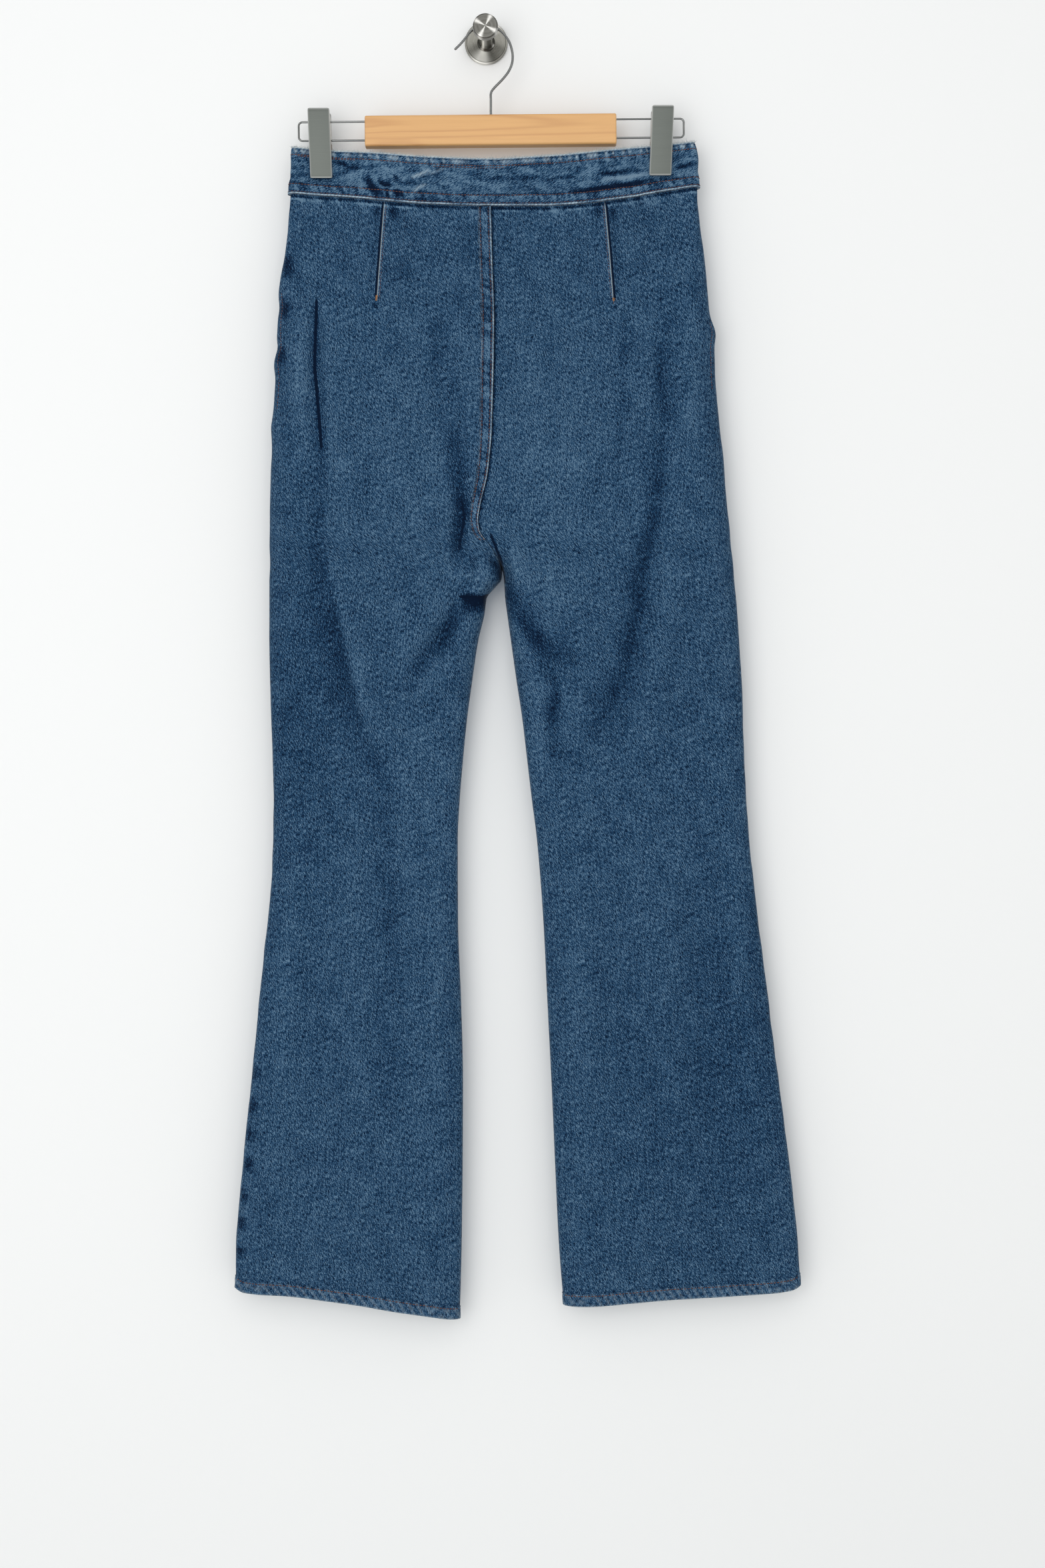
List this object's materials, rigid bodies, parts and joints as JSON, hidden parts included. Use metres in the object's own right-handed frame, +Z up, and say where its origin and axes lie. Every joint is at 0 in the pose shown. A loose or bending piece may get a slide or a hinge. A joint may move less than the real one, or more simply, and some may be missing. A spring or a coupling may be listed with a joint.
{
  "type": "flared jeans on a clip hanger and wall hook",
  "caption": "High-waisted flared jeans seen from the back, pinched by the waistband on a wooden-bar clip hanger that hangs from a round wall hook.",
  "frame": {"origin": "middle of the wall plate's flat back, on the wall", "axes": "+Z up, +Y into the wall, +X to the right seen from in front; the jeans' back faces -Y"},
  "size_m": [0.5272, 0.0532, 1.2146],
  "materials": {
    "denim": "mid-blue washed twill denim, lighter along the worn seam edges",
    "button_metal": "dull brass shank button",
    "maple": "clear-lacquered light wood with a fine straight grain",
    "wire": "bright plated wire",
    "clip_steel": "satin grey steel with bright edges",
    "wall_steel": "brushed steel, turned round its axis on the knob's face"
  },
  "bodies": {
    "root": {"back_left": "denim", "back_right": "denim", "front_left": "denim", "front_right": "denim", "band_back": "denim", "band_front_left": "denim", "band_front_right": "denim", "centre_back_seam": "denim", "fly": "denim", "waist_button": "button_metal", "hanger_bar": "maple", "rail_left": "wire", "rail_right": "wire", "hook_wire": "wire", "clip_left_front": "clip_steel", "clip_left_back": "clip_steel", "clip_left_spring": "wire", "clip_right_front": "clip_steel", "clip_right_back": "clip_steel", "clip_right_spring": "wire", "wall_plate": "wall_steel", "wall_peg": "wall_steel"}
  },
  "joints": []
}
